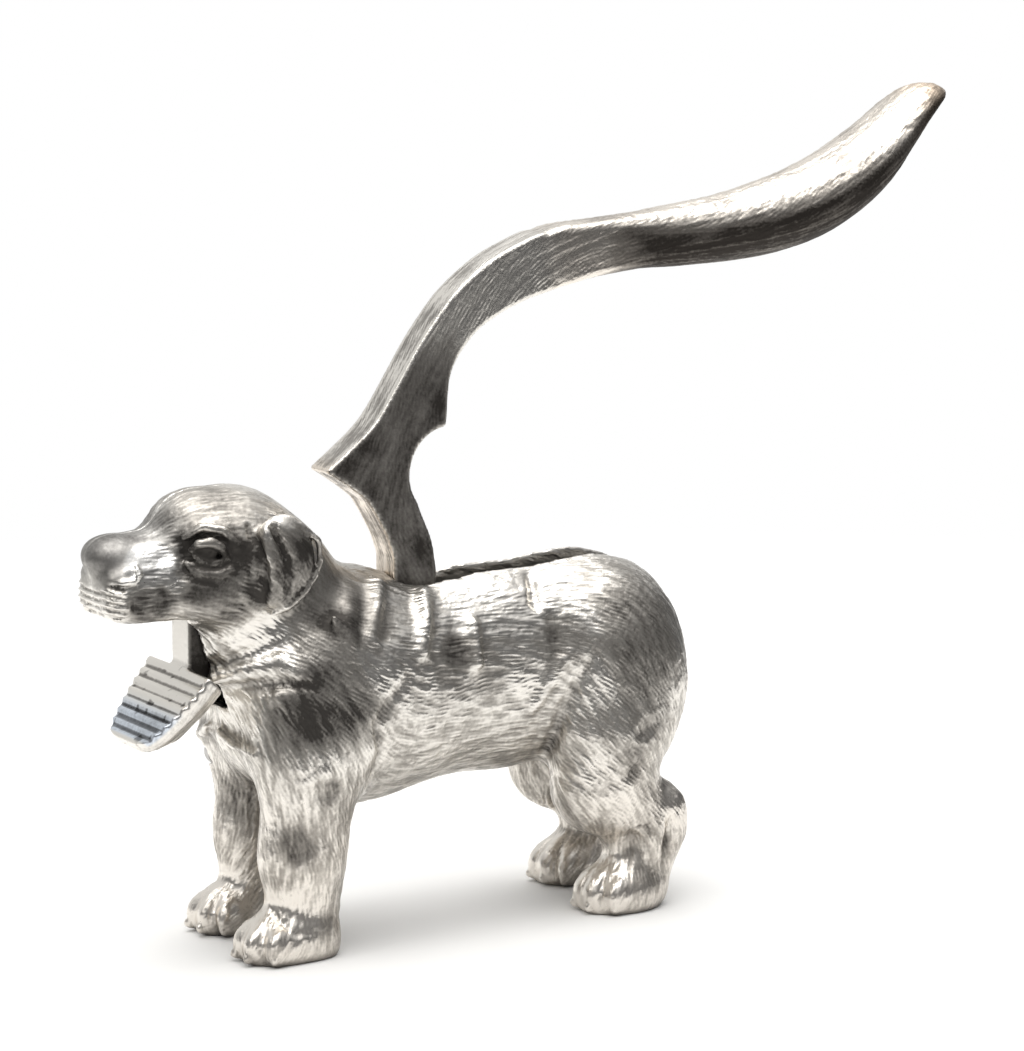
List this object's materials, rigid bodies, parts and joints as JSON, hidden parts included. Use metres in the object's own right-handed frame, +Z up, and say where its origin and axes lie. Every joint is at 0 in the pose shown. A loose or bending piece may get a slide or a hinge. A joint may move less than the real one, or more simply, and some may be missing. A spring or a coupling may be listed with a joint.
{
  "type": "lever nutcracker press",
  "caption": "Standing dog nutcracker in cast metal: the raised tail is a lever that closes a ridged lower jaw against the muzzle.",
  "frame": {"origin": "on the surface that the paws stand on, at the middle of the object's box with the lever raised", "axes": "+X from the nose towards the tail, +Y towards the dog's right side, +Z up"},
  "size_m": [0.2549, 0.0554, 0.2092],
  "materials": {
    "cast_silver": "worn silver plate over a cast body, polished high spots and grey tarnish in the strokes",
    "lever_silver": "worn silver plate, brushed along the lever",
    "steel": "plain turned steel",
    "bronze": "plain bronze washer"
  },
  "bodies": {
    "dog": {"left_body": "cast_silver", "right_body": "cast_silver", "pivot_pin": "steel", "left_washer": "bronze", "right_washer": "bronze", "stop_sleeve": "steel", "stop_screw": "steel", "chest_screw": "steel", "hip_screw": "steel", "skull_dowel": "steel", "rump_dowel": "steel"},
    "lever": {"tail_lever": "lever_silver"}
  },
  "joints": [
    {"name": "lever_pivot", "type": "hinge", "parent": "dog", "child": "lever", "pos_m": [-0.0885, 0, 0.081], "axis": [0, 1, 0], "range_deg": [0, 47.5]}
  ]
}
